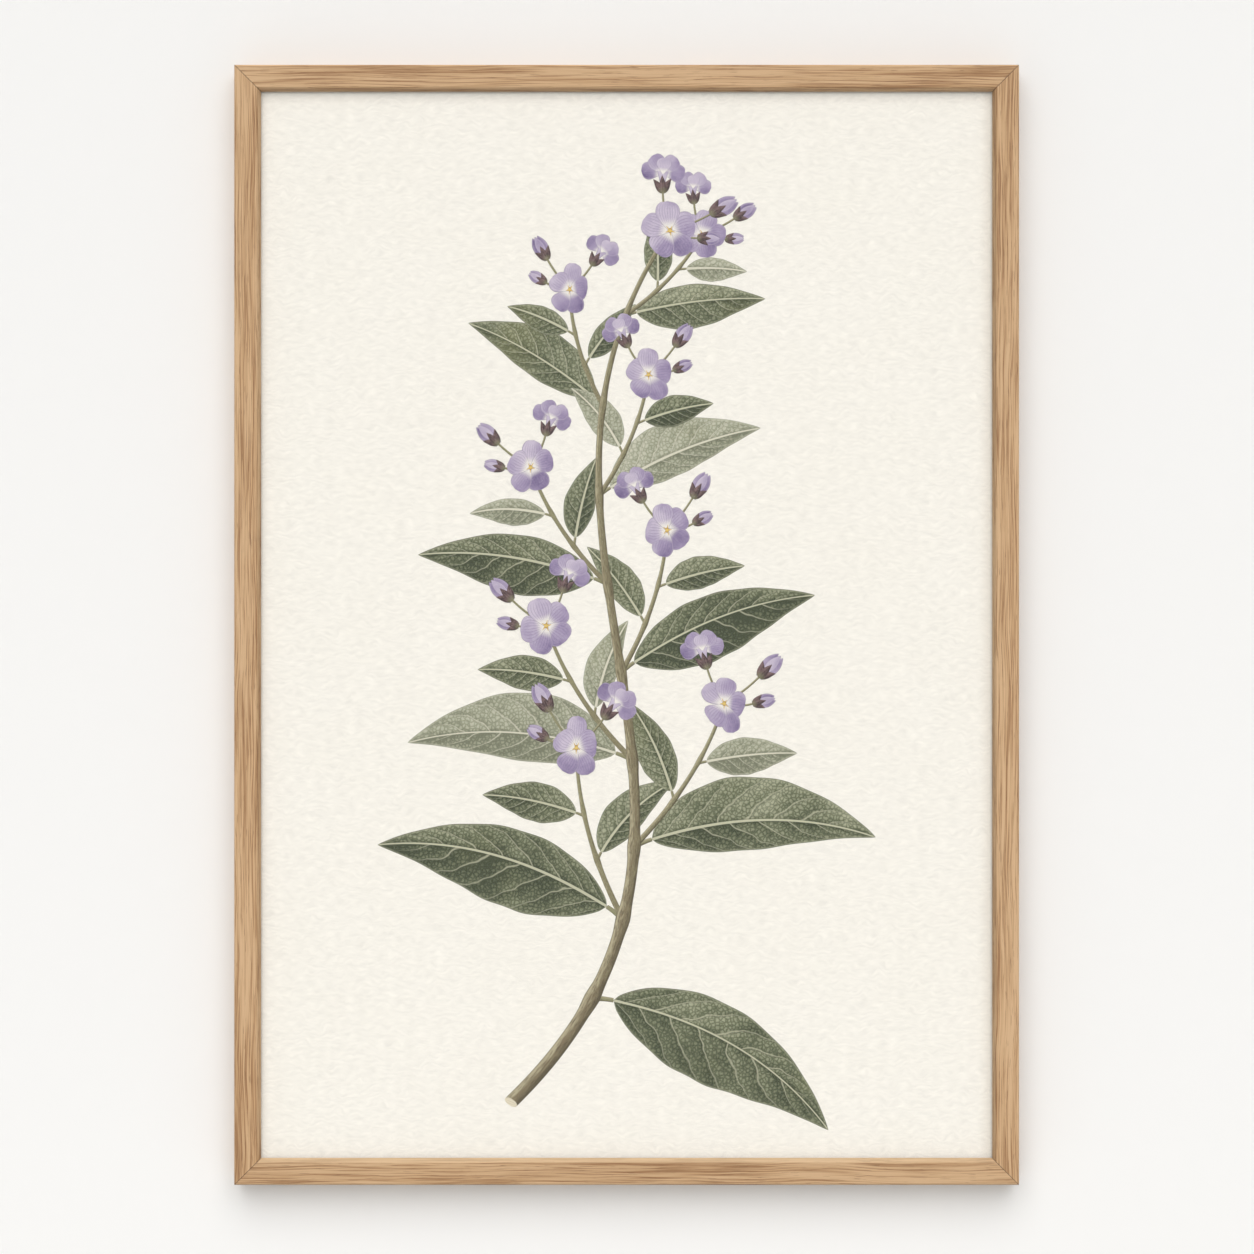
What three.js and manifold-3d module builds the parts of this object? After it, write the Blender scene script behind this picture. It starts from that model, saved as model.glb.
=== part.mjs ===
// A printed sheet in a slim oak picture frame that hangs on a wall. Four mitred rails hold, from the front,
// a clear acrylic pane, the sheet and a fibreboard back, which bendable steel tabs press into the rebate.
// A V nail closes each mitre from behind, and a sawtooth hanger on the top rail sits on the wall's nail.
//
// Millimetres, +Z up, the picture faces -Y. The origin is where the wall's nail carries the hanger's middle
// notch. A rail's own frame is the top rail's: X runs along it, U is the distance inwards from its outer edge
// (towards -Z) and depth D runs from its front face to its back (towards +Y).
import * as THREE from 'three';
import { mergeVertices } from 'three/addons/utils/BufferGeometryUtils.js';
import Module from 'manifold-3d';

const wasm = await Module();
wasm.setup();

// The frame's outside, and the moulding's section.
const OUTER_WIDTH = 433;
const OUTER_HEIGHT = 618;
const RAIL_WIDTH = 14.5;
const RAIL_DEPTH = 20;
const LIP_DEPTH = 4; // front face to the rebate
const REBATE_WIDTH = 6; // how far the lip covers the pane
const SIGHT_SLOPE = 2; // how far the sight face leans in over the lip's depth
const OUTER_EASE = 1.1; // radius of the outer front edge
const SIGHT_EASE = 0.6; // length of the rounding on the sight edge
const BACK_EASE = 0.5;
const MITRE_GAP = 0.06; // each rail stops this short of the mitre plane
const REBATE_WALL = RAIL_WIDTH - REBATE_WIDTH; // U of the rebate's wall

// What lies in the rebate, from the front. Each layer is clear of the rails by EDGE_PLAY all round.
const EDGE_PLAY = 1;
const LAYER_GAP = 0.3;
const PANE_THICKNESS = 1.5;
const SHEET_THICKNESS = 0.5;
const BACK_THICKNESS = 3;
const PANE_DEPTH = LIP_DEPTH + LAYER_GAP;
const SHEET_DEPTH = PANE_DEPTH + PANE_THICKNESS + LAYER_GAP;
const BACK_DEPTH = SHEET_DEPTH + SHEET_THICKNESS + LAYER_GAP;

// Bendable tabs: sheet steel, driven into a slot in the rebate's wall and lying on the back board.
const TAB_WIDTH = 7;
const TAB_THICKNESS = 0.5;
const TAB_SUNK = 5; // length inside the wood
const TAB_SHOWN = 10; // length over the board
const TAB_NOSE = 2; // the sunk end tapers over this length
const TAB_LIFT = 0.15; // off the board
const TAB_DEPTH = BACK_DEPTH + BACK_THICKNESS + TAB_LIFT;
const SLOT_PLAY = 0.2;
const TABS_ON_SHORT_RAIL = 2;
const TABS_ON_LONG_RAIL = 3;

// V nails: bent steel strip, pressed into the back of each corner across the mitre.
const VNAIL_LEG = 5;
const VNAIL_THICKNESS = 0.5;
const VNAIL_HEIGHT = 10;
const VNAIL_APEX = 3.9; // outer corner to the bend, along the mitre
const VNAIL_HALF_ANGLE = THREE.MathUtils.degToRad(38);
const VNAIL_SUNK = 0.3; // below the wood's back face

// Sawtooth hanger: steel strip cranked away from the wood, with notches along its lower edge.
const HANGER_LENGTH = 46;
const HANGER_HEIGHT = 8;
const HANGER_THICKNESS = 1;
const HANGER_STANDOFF = 1.8; // wood to the raised middle
const HANGER_FOOT = 10; // each flat end
const HANGER_RAMP = 2.2;
const HANGER_TOP = 0.5; // U of its upper edge
const NOTCH_COUNT = 7;
const NOTCH_PITCH = 2.8;
const NOTCH_DEPTH = 1.6;
const NOTCH_ROOF = 1; // width of the flat that lies on the nail
const NOTCH_MOUTH = 2.3;
const CONTACT_GAP = 0.1; // between a fitting and the wood that it lies on

// The hanger's two pins.
const PIN_OFFSET = 18; // from the hanger's middle
const PIN_SHANK = 0.7; // radius
const PIN_HEAD = 1.9; // radius
const PIN_HEAD_HEIGHT = 0.8;
const PIN_DOME = [[1, 0], [0.92, 0.5], [0.6, 0.88], [0, 1]]; // shares of the head's radius and height
const PIN_LENGTH = 9;
const PIN_POINT = 1.6;
const PIN_PLAY = 0.25;

// Wall bumpers: felt dots at the bottom corners, which keep the frame upright against the wall.
const BUMPER_RADIUS = 3.8;
const BUMPER_HEIGHT = 3;
const BUMPER_EASE = 0.6;
const BUMPER_FROM_CORNER = 17;

// Where the frame lies about the origin, which is the flat roof of the middle notch.
const TOP_Z = HANGER_TOP + HANGER_HEIGHT - NOTCH_DEPTH;
const BACK_Y = -(HANGER_THICKNESS / 2 + HANGER_STANDOFF + CONTACT_GAP);
const FRONT_Y = BACK_Y - RAIL_DEPTH;
const CENTRE_Z = TOP_Z - OUTER_HEIGHT / 2;

const CUT_PAST = 1; // how far a cutter reaches past the face that it opens
const ROUND_SIDES = 24;
const SMALL_ROUND_SIDES = 12;
const ARC_STEPS = 5;

const OAK = new THREE.MeshStandardMaterial({ color: 0xc6a17a, roughness: 0.62, metalness: 0 });
const PAPER = new THREE.MeshStandardMaterial({ color: 0xf7f3e9, roughness: 0.9, metalness: 0 });
const FIBREBOARD = new THREE.MeshStandardMaterial({ color: 0x9a7650, roughness: 0.85, metalness: 0 });
const STEEL = new THREE.MeshStandardMaterial({ color: 0xb9bcbd, roughness: 0.35, metalness: 1 });
const FELT = new THREE.MeshStandardMaterial({ color: 0x8a8378, roughness: 1, metalness: 0 });
const ACRYLIC = new THREE.MeshStandardMaterial({
  color: 0xf4f8f8, roughness: 0.05, metalness: 0, transparent: true, opacity: 0.15,
});

// A geometry as a solid that can be cut, and back.
function solidOf(geometry) {
  const bare = geometry.index ? geometry.toNonIndexed() : geometry.clone();
  bare.deleteAttribute('normal');
  bare.deleteAttribute('uv');
  const merged = mergeVertices(bare, 1e-4);
  return new wasm.Manifold(new wasm.Mesh({
    numProp: 3,
    vertProperties: merged.attributes.position.array,
    triVerts: new Uint32Array(merged.index.array),
  }));
}

function geometryOf(solid) {
  const mesh = solid.getMesh();
  const geometry = new THREE.BufferGeometry();
  geometry.setAttribute('position', new THREE.BufferAttribute(mesh.vertProperties, 3));
  geometry.setIndex(new THREE.BufferAttribute(mesh.triVerts, 1));
  const flat = geometry.toNonIndexed();
  flat.computeVertexNormals();
  return flat;
}

function cutAway(geometry, cutters) {
  const left = cutters.reduce((solid, cutter) => solid.subtract(solidOf(cutter)), solidOf(geometry));
  return geometryOf(left);
}

function extrude(shape, length) {
  return new THREE.ExtrudeGeometry(shape, {
    depth: length, bevelEnabled: false, steps: 1, curveSegments: ARC_STEPS,
  });
}

// A plate whose outline is drawn in (X, U) and whose thickness runs from depth `from` to depth `to`.
function plate(outline, from, to) {
  return extrude(outline, to - from).rotateX(-Math.PI / 2).translate(0, from, 0);
}

function rectangle(xLow, xHigh, uLow, uHigh) {
  const outline = new THREE.Shape();
  outline.moveTo(xLow, uLow);
  outline.lineTo(xHigh, uLow);
  outline.lineTo(xHigh, uHigh);
  outline.lineTo(xLow, uHigh);
  return outline;
}

function polygon(points) {
  return new THREE.Shape(points.map(([x, y]) => new THREE.Vector2(x, y)));
}

// The moulding's section in (U, D): eased outer edge, leaning sight face, rebate behind the lip.
function mouldingSection() {
  const section = new THREE.Shape();
  const sightTop = RAIL_WIDTH - SIGHT_SLOPE;
  const lean = Math.atan2(SIGHT_SLOPE, LIP_DEPTH);
  section.moveTo(0, RAIL_DEPTH - BACK_EASE);
  section.lineTo(0, OUTER_EASE);
  section.absarc(OUTER_EASE, OUTER_EASE, OUTER_EASE, Math.PI, Math.PI * 1.5, false);
  section.lineTo(sightTop - SIGHT_EASE, 0);
  section.quadraticCurveTo(
    sightTop, 0, sightTop + SIGHT_EASE * Math.sin(lean), SIGHT_EASE * Math.cos(lean),
  );
  section.lineTo(RAIL_WIDTH, LIP_DEPTH);
  section.lineTo(REBATE_WALL, LIP_DEPTH);
  section.lineTo(REBATE_WALL, RAIL_DEPTH);
  section.lineTo(BACK_EASE, RAIL_DEPTH);
  return section;
}

// One length of moulding, its ends cut back by U for the mitres.
function mitredMoulding(length) {
  const bar = extrude(mouldingSection(), length);
  const place = bar.attributes.position;
  for (let i = 0; i < place.count; i += 1) {
    const cutBack = place.getX(i) + MITRE_GAP;
    place.setZ(i, place.getZ(i) < length / 2 ? cutBack : length - cutBack);
  }
  const inwards = new THREE.Vector3(0, 0, -1);
  const backwards = new THREE.Vector3(0, 1, 0);
  const along = new THREE.Vector3(1, 0, 0);
  return bar.translate(0, 0, -length / 2)
    .applyMatrix4(new THREE.Matrix4().makeBasis(inwards, backwards, along));
}

// A V nail's outline in (X, U) with its corner at the origin and the mitre along X = U, grown by `play`.
function vNailOutline(play) {
  const half = VNAIL_THICKNESS / 2 + play;
  const reach = VNAIL_LEG + play;
  const bend = half / Math.sin(VNAIL_HALF_ANGLE);
  const [c, s] = [Math.cos(VNAIL_HALF_ANGLE), Math.sin(VNAIL_HALF_ANGLE)];
  const outer = [VNAIL_APEX + reach * c - half * s, reach * s + half * c];
  const inner = [VNAIL_APEX + reach * c + half * s, reach * s - half * c];
  const points = [
    [VNAIL_APEX - bend, 0], [outer[0], -outer[1]], [inner[0], -inner[1]],
    [VNAIL_APEX + bend, 0], inner, outer,
  ];
  const turn = Math.SQRT1_2; // the mitre is at 45 degrees
  return polygon(points.map(([along, across]) => [(along - across) * turn, (along + across) * turn]));
}

function vNail(play) {
  const top = RAIL_DEPTH - VNAIL_SUNK;
  return plate(vNailOutline(play), top - VNAIL_HEIGHT - play, play ? RAIL_DEPTH + CUT_PAST : top);
}

// The same outline at a rail's two ends, as the cutters of its slots.
function vNailSlots(length) {
  const atStart = vNail(SLOT_PLAY).translate(-length / 2, 0, 0);
  const atEnd = vNail(SLOT_PLAY).rotateY(Math.PI / 2).translate(length / 2, 0, 0);
  return [atStart, atEnd];
}

// A bendable tab: tapered where it is driven in, round where it lies on the board.
function tab() {
  const half = TAB_WIDTH / 2;
  const sunkEnd = REBATE_WALL - TAB_SUNK;
  const roundFrom = REBATE_WALL + TAB_SHOWN - half;
  const outline = new THREE.Shape();
  outline.moveTo(-half, sunkEnd + TAB_NOSE);
  outline.lineTo(-half / 2, sunkEnd);
  outline.lineTo(half / 2, sunkEnd);
  outline.lineTo(half, sunkEnd + TAB_NOSE);
  outline.lineTo(half, roundFrom);
  outline.absarc(0, roundFrom, half, 0, Math.PI, false);
  return plate(outline, TAB_DEPTH, TAB_DEPTH + TAB_THICKNESS);
}

function tabSlot() {
  const half = TAB_WIDTH / 2 + SLOT_PLAY;
  const slot = rectangle(-half, half, REBATE_WALL - TAB_SUNK - SLOT_PLAY, REBATE_WALL + CUT_PAST);
  return plate(slot, TAB_DEPTH - SLOT_PLAY, TAB_DEPTH + TAB_THICKNESS + SLOT_PLAY);
}

// The tabs' places along a rail: even, with half a space at each end.
function tabPlaces(length, count) {
  const spacing = length / count;
  return Array.from({ length: count }, (_, i) => (i - (count - 1) / 2) * spacing);
}

// The hanger: its cranked section in (X, D), cut to height, then notched along the lower edge.
function hanger() {
  const wood = RAIL_DEPTH + CONTACT_GAP;
  const raised = wood + HANGER_STANDOFF;
  const end = HANGER_LENGTH / 2;
  const footEnd = end - HANGER_FOOT;
  const rampEnd = footEnd - HANGER_RAMP;
  const woodSide = [
    [-end, wood], [-footEnd, wood], [-rampEnd, raised], [rampEnd, raised], [footEnd, wood], [end, wood],
  ];
  const wallSide = woodSide.map(([x, d]) => [x, d + HANGER_THICKNESS]).reverse();
  const strip = extrude(polygon([...woodSide, ...wallSide]), HANGER_HEIGHT)
    .translate(0, 0, -(HANGER_TOP + HANGER_HEIGHT));
  const lowerEdge = HANGER_TOP + HANGER_HEIGHT;
  const widening = (NOTCH_MOUTH - NOTCH_ROOF) / NOTCH_DEPTH;
  const mouth = NOTCH_MOUTH + widening * CUT_PAST;
  const notches = Array.from({ length: NOTCH_COUNT }, (_, i) => {
    const middle = (i - (NOTCH_COUNT - 1) / 2) * NOTCH_PITCH;
    const outline = polygon([
      [middle - NOTCH_ROOF / 2, lowerEdge - NOTCH_DEPTH], [middle + NOTCH_ROOF / 2, lowerEdge - NOTCH_DEPTH],
      [middle + mouth / 2, lowerEdge + CUT_PAST], [middle - mouth / 2, lowerEdge + CUT_PAST],
    ]);
    return plate(outline, wood, raised + HANGER_THICKNESS + CUT_PAST);
  });
  const pinHoles = [-PIN_OFFSET, PIN_OFFSET]
    .map((x) => pinHole(x, wood - CUT_PAST, wood + HANGER_THICKNESS + CUT_PAST));
  return cutAway(strip, [...notches, ...pinHoles]);
}

function pinHole(x, from, to) {
  const radius = PIN_SHANK + PIN_PLAY;
  return new THREE.CylinderGeometry(radius, radius, to - from, SMALL_ROUND_SIDES)
    .translate(x, (from + to) / 2, -(HANGER_TOP + HANGER_HEIGHT / 2));
}

// A pin of the hanger: a low domed head on the strip and a pointed shank in the wood.
function hangerPin() {
  const headUnder = RAIL_DEPTH + 2 * CONTACT_GAP + HANGER_THICKNESS;
  const tip = headUnder - PIN_LENGTH;
  const dome = PIN_DOME.map(([out, up]) => [PIN_HEAD * out, headUnder + PIN_HEAD_HEIGHT * up]);
  const profile = [[0, tip], [PIN_SHANK, tip + PIN_POINT], [PIN_SHANK, headUnder], ...dome]
    .map(([radius, depth]) => new THREE.Vector2(radius, depth));
  return new THREE.LatheGeometry(profile, SMALL_ROUND_SIDES);
}

function bumper() {
  const glued = RAIL_DEPTH + CONTACT_GAP;
  const profile = [
    [0, glued], [BUMPER_RADIUS, glued], [BUMPER_RADIUS, glued + BUMPER_HEIGHT - BUMPER_EASE],
    [BUMPER_RADIUS - BUMPER_EASE, glued + BUMPER_HEIGHT], [0, glued + BUMPER_HEIGHT],
  ].map(([radius, depth]) => new THREE.Vector2(radius, depth));
  return new THREE.LatheGeometry(profile, ROUND_SIDES);
}

function piece(name, geometry, material) {
  const mesh = new THREE.Mesh(geometry, material);
  mesh.name = name;
  return mesh;
}

// A rail with its tabs, turned about Y to its side of the frame.
function railGroup({ side, length, tabCount, turn, x, z }) {
  const places = tabPlaces(length - 2 * RAIL_WIDTH, tabCount);
  const cutters = [...vNailSlots(length), ...places.map((place) => tabSlot().translate(place, 0, 0))];
  if (side === 'top') {
    const woodDepth = RAIL_DEPTH - PIN_LENGTH;
    cutters.push(...[-PIN_OFFSET, PIN_OFFSET].map((at) => pinHole(at, woodDepth, RAIL_DEPTH + CUT_PAST)));
  }
  const group = new THREE.Group();
  group.add(piece(`rail_${side}`, cutAway(mitredMoulding(length), cutters), OAK));
  places.forEach((place, i) => {
    group.add(piece(`tab_${side}_${i + 1}`, tab().translate(place, 0, 0), STEEL));
  });
  group.rotation.y = turn;
  group.position.set(x, 0, z);
  return group;
}

// One layer of the stack in the rebate.
function layer(name, depth, thickness, material) {
  const inset = 2 * (REBATE_WALL + EDGE_PLAY);
  const geometry = new THREE.BoxGeometry(OUTER_WIDTH - inset, thickness, OUTER_HEIGHT - inset);
  return piece(name, geometry.translate(0, depth + thickness / 2, 0), material);
}

function vNailAt(corner, x, z, turn) {
  const mesh = piece(`v_nail_${corner}`, vNail(0), STEEL);
  mesh.position.set(x, 0, z);
  mesh.rotation.y = turn;
  return mesh;
}

const halfWidth = OUTER_WIDTH / 2;
const halfHeight = OUTER_HEIGHT / 2;
const quarter = Math.PI / 2;

const frame = new THREE.Group();
[
  { side: 'top', length: OUTER_WIDTH, tabCount: TABS_ON_SHORT_RAIL, turn: 0, x: 0, z: halfHeight },
  { side: 'right', length: OUTER_HEIGHT, tabCount: TABS_ON_LONG_RAIL, turn: quarter, x: halfWidth, z: 0 },
  { side: 'bottom', length: OUTER_WIDTH, tabCount: TABS_ON_SHORT_RAIL, turn: 2 * quarter, x: 0, z: -halfHeight },
  { side: 'left', length: OUTER_HEIGHT, tabCount: TABS_ON_LONG_RAIL, turn: -quarter, x: -halfWidth, z: 0 },
].forEach((rail) => frame.add(railGroup(rail)));

frame.add(layer('acrylic_pane', PANE_DEPTH, PANE_THICKNESS, ACRYLIC));
frame.add(layer('printed_sheet', SHEET_DEPTH, SHEET_THICKNESS, PAPER));
frame.add(layer('back_board', BACK_DEPTH, BACK_THICKNESS, FIBREBOARD));

frame.add(vNailAt('top_left', -halfWidth, halfHeight, 0));
frame.add(vNailAt('top_right', halfWidth, halfHeight, quarter));
frame.add(vNailAt('bottom_right', halfWidth, -halfHeight, 2 * quarter));
frame.add(vNailAt('bottom_left', -halfWidth, -halfHeight, -quarter));

const onTopRail = new THREE.Group();
onTopRail.position.z = halfHeight;
onTopRail.add(piece('sawtooth_hanger', hanger(), STEEL));
[['left', -PIN_OFFSET], ['right', PIN_OFFSET]].forEach(([side, x]) => {
  const pin = piece(`hanger_pin_${side}`, hangerPin(), STEEL);
  pin.position.set(x, 0, -(HANGER_TOP + HANGER_HEIGHT / 2));
  onTopRail.add(pin);
});
frame.add(onTopRail);

[['left', -1], ['right', 1]].forEach(([side, sign]) => {
  const dot = piece(`wall_bumper_${side}`, bumper(), FELT);
  dot.position.set(sign * (halfWidth - BUMPER_FROM_CORNER), 0, REBATE_WALL / 2 - halfHeight);
  frame.add(dot);
});

frame.position.set(0, FRONT_Y, CENTRE_Z);

const framedPrint = new THREE.Group();
framedPrint.add(frame);

export default framedPrint;
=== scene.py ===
import math
import random

import bpy
import numpy as np
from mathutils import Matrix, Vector


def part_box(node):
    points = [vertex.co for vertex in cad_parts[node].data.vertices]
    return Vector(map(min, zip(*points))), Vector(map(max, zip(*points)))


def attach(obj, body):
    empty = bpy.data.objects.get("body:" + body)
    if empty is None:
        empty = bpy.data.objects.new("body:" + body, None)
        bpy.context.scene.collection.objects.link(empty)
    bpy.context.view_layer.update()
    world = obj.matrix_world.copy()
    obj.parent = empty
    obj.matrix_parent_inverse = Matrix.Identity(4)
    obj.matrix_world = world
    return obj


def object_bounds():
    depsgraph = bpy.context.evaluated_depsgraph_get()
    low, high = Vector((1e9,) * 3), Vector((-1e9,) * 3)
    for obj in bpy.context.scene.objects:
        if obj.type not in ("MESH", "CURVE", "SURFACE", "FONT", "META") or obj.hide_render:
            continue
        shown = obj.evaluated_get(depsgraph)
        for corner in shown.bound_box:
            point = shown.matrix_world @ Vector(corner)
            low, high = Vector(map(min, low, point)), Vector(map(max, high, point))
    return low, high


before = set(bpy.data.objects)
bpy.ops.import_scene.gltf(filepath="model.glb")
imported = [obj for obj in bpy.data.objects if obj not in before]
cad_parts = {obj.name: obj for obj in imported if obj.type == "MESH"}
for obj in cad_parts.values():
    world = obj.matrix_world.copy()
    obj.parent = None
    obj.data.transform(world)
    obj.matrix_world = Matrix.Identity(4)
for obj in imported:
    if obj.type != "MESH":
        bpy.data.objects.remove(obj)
cad_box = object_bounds()

# The place where the picture hangs: a plain white wall that the felt dots touch, and a pale floor well below.
# Neither is part of the object. The wall is painted on its room side only, so the back can be looked at
# through it, and it casts no shadow on the back.
MM = 0.001
PICTURE_CENTRE = (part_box("back_board")[0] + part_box("back_board")[1]) / 2
FRONT_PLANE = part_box("rail_top")[0].y
WALL_GAP = 0.05 * MM
WALL_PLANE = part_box("wall_bumper_left")[1].y + WALL_GAP
STAGE_HALF = 6
WALL_TOP = 3.2
FLOOR_BELOW = 1.25
WALL_WHITE = (0.925, 0.922, 0.910, 1)
FLOOR_PALE = (0.66, 0.655, 0.64, 1)


class Tone:
    """A value, colour or vector that varies over a surface. Sums with it add the nodes that work them out."""

    def __init__(self, finish, socket):
        self.finish = finish
        self.socket = socket

    def worked(self, operation, *values):
        return self.finish.node("Math", {"operation": operation}, dict(enumerate(values)))

    def __add__(self, other):
        return self.worked("ADD", self, other)

    def __radd__(self, other):
        return self.worked("ADD", other, self)

    def __sub__(self, other):
        return self.worked("SUBTRACT", self, other)

    def __rsub__(self, other):
        return self.worked("SUBTRACT", other, self)

    def __mul__(self, other):
        return self.worked("MULTIPLY", self, other)

    def __rmul__(self, other):
        return self.worked("MULTIPLY", other, self)

    def __abs__(self):
        return self.worked("ABSOLUTE", self)

    def __lt__(self, limit):
        return self.worked("LESS_THAN", self, limit)

    def fraction(self):
        return self.worked("FRACT", self)

    def rise(self, start, end, low=0.0, high=1.0):
        """From low to high as this goes from start to end, eased at both."""
        return self.finish.node("MapRange", {"interpolation_type": "SMOOTHSTEP"}, {
            "Value": self, "From Min": start, "From Max": end, "To Min": low, "To Max": high})


class Finish:
    """A material in the making, with one shader: the surface that its colour, roughness and relief end in."""

    def __init__(self, name):
        self.material = bpy.data.materials.new(name)
        self.material.use_nodes = True
        self.tree = self.material.node_tree
        self.tree.nodes.clear()

    def node(self, kind, settings=None, sockets=None, output=0):
        made = self.tree.nodes.new("ShaderNode" + kind)
        for key, value in (settings or {}).items():
            if key == "stops":
                ramp = made.color_ramp
                while len(ramp.elements) < len(value):
                    ramp.elements.new(0.5)
                for stop, (position, colour) in zip(ramp.elements, value):
                    stop.position = position
                    stop.color = colour
            else:
                setattr(made, key, value)
        for key, value in (sockets or {}).items():
            if isinstance(value, Tone):
                self.tree.links.new(value.socket, made.inputs[key])
            else:
                made.inputs[key].default_value = value
        return Tone(self, made.outputs[output])

    def blend(self, amount, start, end):
        return self.node("Mix", {"data_type": "RGBA"}, {0: amount, 6: start, 7: end}, 2)

    def tint(self, colour, amount):
        """The colour made darker or lighter all round by an amount about 1."""
        return self.node("VectorMath", {"operation": "SCALE"}, {0: colour, "Scale": amount})

    def place(self):
        return self.node("TexCoord", output="Object")

    def split(self, vector):
        apart = self.node("SeparateXYZ", sockets={"Vector": vector})
        return [Tone(self, socket) for socket in apart.socket.node.outputs]

    def joined(self, x, y, z=0.0):
        return self.node("CombineXYZ", sockets={"X": x, "Y": y, "Z": z})

    def cloud(self, where, scale=1.0, detail=2.0, roughness=0.5):
        return self.node("TexNoise", sockets={
            "Vector": where, "Scale": scale, "Detail": detail, "Roughness": roughness})

    def relief(self, height, distance, strength=1.0):
        return self.node("Bump", sockets={"Height": height, "Distance": distance, "Strength": strength})

    def surface(self, **sockets):
        named = {key.replace("_", " "): value for key, value in sockets.items()}
        shader = self.node("BsdfPrincipled", sockets=named)
        end = self.tree.nodes.new("ShaderNodeOutputMaterial")
        self.tree.links.new(shader.socket, end.inputs["Surface"])
        return self.material


def flat_stage(name, corners, colour, clear_from_behind=False):
    mesh = bpy.data.meshes.new(name)
    mesh.from_pydata(corners, [], [(0, 1, 2, 3)])
    stage = bpy.data.objects.new(name, mesh)
    bpy.context.scene.collection.objects.link(stage)
    paint = Finish(name)
    matt = paint.node("BsdfDiffuse", sockets={"Color": colour})
    if clear_from_behind:
        behind = paint.node("NewGeometry", output="Backfacing")
        clear = paint.node("BsdfTransparent")
        matt = paint.node("MixShader", sockets={0: behind, 1: matt, 2: clear})
    end = paint.tree.nodes.new("ShaderNodeOutputMaterial")
    paint.tree.links.new(matt.socket, end.inputs["Surface"])
    mesh.materials.append(paint.material)
    return stage


floor_z = PICTURE_CENTRE.z - FLOOR_BELOW
wall = flat_stage("white_wall", [
    (-STAGE_HALF, WALL_PLANE, floor_z), (STAGE_HALF, WALL_PLANE, floor_z),
    (STAGE_HALF, WALL_PLANE, WALL_TOP), (-STAGE_HALF, WALL_PLANE, WALL_TOP),
], WALL_WHITE, clear_from_behind=True)
wall.visible_shadow = False
flat_stage("pale_floor", [
    (-STAGE_HALF, -STAGE_HALF, floor_z), (STAGE_HALF, -STAGE_HALF, floor_z),
    (STAGE_HALF, STAGE_HALF, floor_z), (-STAGE_HALF, STAGE_HALF, floor_z),
], FLOOR_PALE)

# The camera stands square to the picture and 2.2 m in front of it, as the parallel rails in the photo show.
# The photo's width covers VIEW_WIDTH at the frame's front, and its middle is a little below the frame's.
CAMERA_DISTANCE = 2.2
SENSOR_WIDTH = 36
VIEW_WIDTH = 0.6916
VIEW_RIGHT = 0.2 * MM
VIEW_DOWN = 1.2 * MM
camera_data = bpy.data.cameras.new("camera")
camera_data.sensor_width = SENSOR_WIDTH
camera_data.lens = SENSOR_WIDTH * CAMERA_DISTANCE / VIEW_WIDTH
camera_data.clip_start = 0.05
camera = bpy.data.objects.new("camera", camera_data)
bpy.context.scene.collection.objects.link(camera)
camera.location = (VIEW_RIGHT, FRONT_PLANE - CAMERA_DISTANCE, PICTURE_CENTRE.z - VIEW_DOWN)
camera.rotation_euler = (math.radians(90), 0, 0)
bpy.context.scene.camera = camera

# Soft studio light: a far, very broad, warm light above the camera, which leaves a short soft shadow under
# the frame, cooler light from all round, and a lamp behind that only the back sees.
ALL_ROUND = 0.384
ALL_ROUND_COOL = (0.965, 1.0, 1.03, 1)
FRONT_LIGHT = 1.95
FRONT_WARM = (1.025, 1.0, 0.98)
FRONT_SPREAD = 62
FRONT_HEIGHT = 32
FRONT_AWAY = 4
REAR_LAMP = 36
REAR_SIZE = 1.2
REAR_PLACE = (-1.1, 1.7, PICTURE_CENTRE.z + 0.9)
world = bpy.data.worlds.new("pale_room")
bpy.context.scene.world = world
world.use_nodes = True
room = world.node_tree.nodes["Background"]
room.inputs["Color"].default_value = ALL_ROUND_COOL
room.inputs["Strength"].default_value = ALL_ROUND


def light(name, kind, place, **settings):
    """A light at a place, aimed at the picture's centre."""
    data = bpy.data.lights.new(name, kind)
    for key, value in settings.items():
        setattr(data, key, value)
    lit = bpy.data.objects.new(name, data)
    lit.location = place
    lit.rotation_euler = (PICTURE_CENTRE - Vector(place)).to_track_quat("-Z", "Y").to_euler()
    bpy.context.scene.collection.objects.link(lit)


up = math.radians(FRONT_HEIGHT)
towards_room = Vector((0, -math.cos(up), math.sin(up)))
light("front_light", "SUN", PICTURE_CENTRE + towards_room * FRONT_AWAY,
      energy=FRONT_LIGHT, color=FRONT_WARM, angle=math.radians(FRONT_SPREAD))
light("rear_lamp", "AREA", REAR_PLACE, energy=REAR_LAMP, shape="SQUARE", size=REAR_SIZE)
bpy.context.scene.view_settings.view_transform = "Standard"
bpy.context.scene.view_settings.look = "None"

# The four rails: straight-grained light oak, planed, mitred, glued and oiled. Long brown streaks and short
# open pores run along each. The sight faces carry painted shade, deepest at the back and on the top rail,
# which faces down. The bottom rail's sight face faces up and carries painted light instead. Each rail's face
# has a little painted shade of its own. The outer eased edges have a painted highlight at the top and painted
# shade at the bottom and left. The outer faces are greyer from handling.
OAK_LIGHT = (0.650, 0.430, 0.242, 1)
OAK_MIDDLE = (0.530, 0.325, 0.164, 1)
OAK_DARK = (0.345, 0.180, 0.076, 1)
OAK_PORE = (0.190, 0.092, 0.038, 1)
# The colour of the painted light on the upturned sight face.
OAK_PAINTED_LIGHT = (0.930, 0.690, 0.430, 1)
OAK_HANDLED = (0.300, 0.280, 0.250, 1)
MITRE_LINE = 0.35 * MM
EASED_EDGE = 1.3 * MM
SIGHT_FACE = 2.2 * MM
SIGHT_DEPTH = 4.0 * MM
HANDLED_FROM = 1.1 * MM
HANDLED_FULL = 2.4 * MM
RAIL_WIDTH = cad_box[1].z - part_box("rail_top")[0].z
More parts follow.
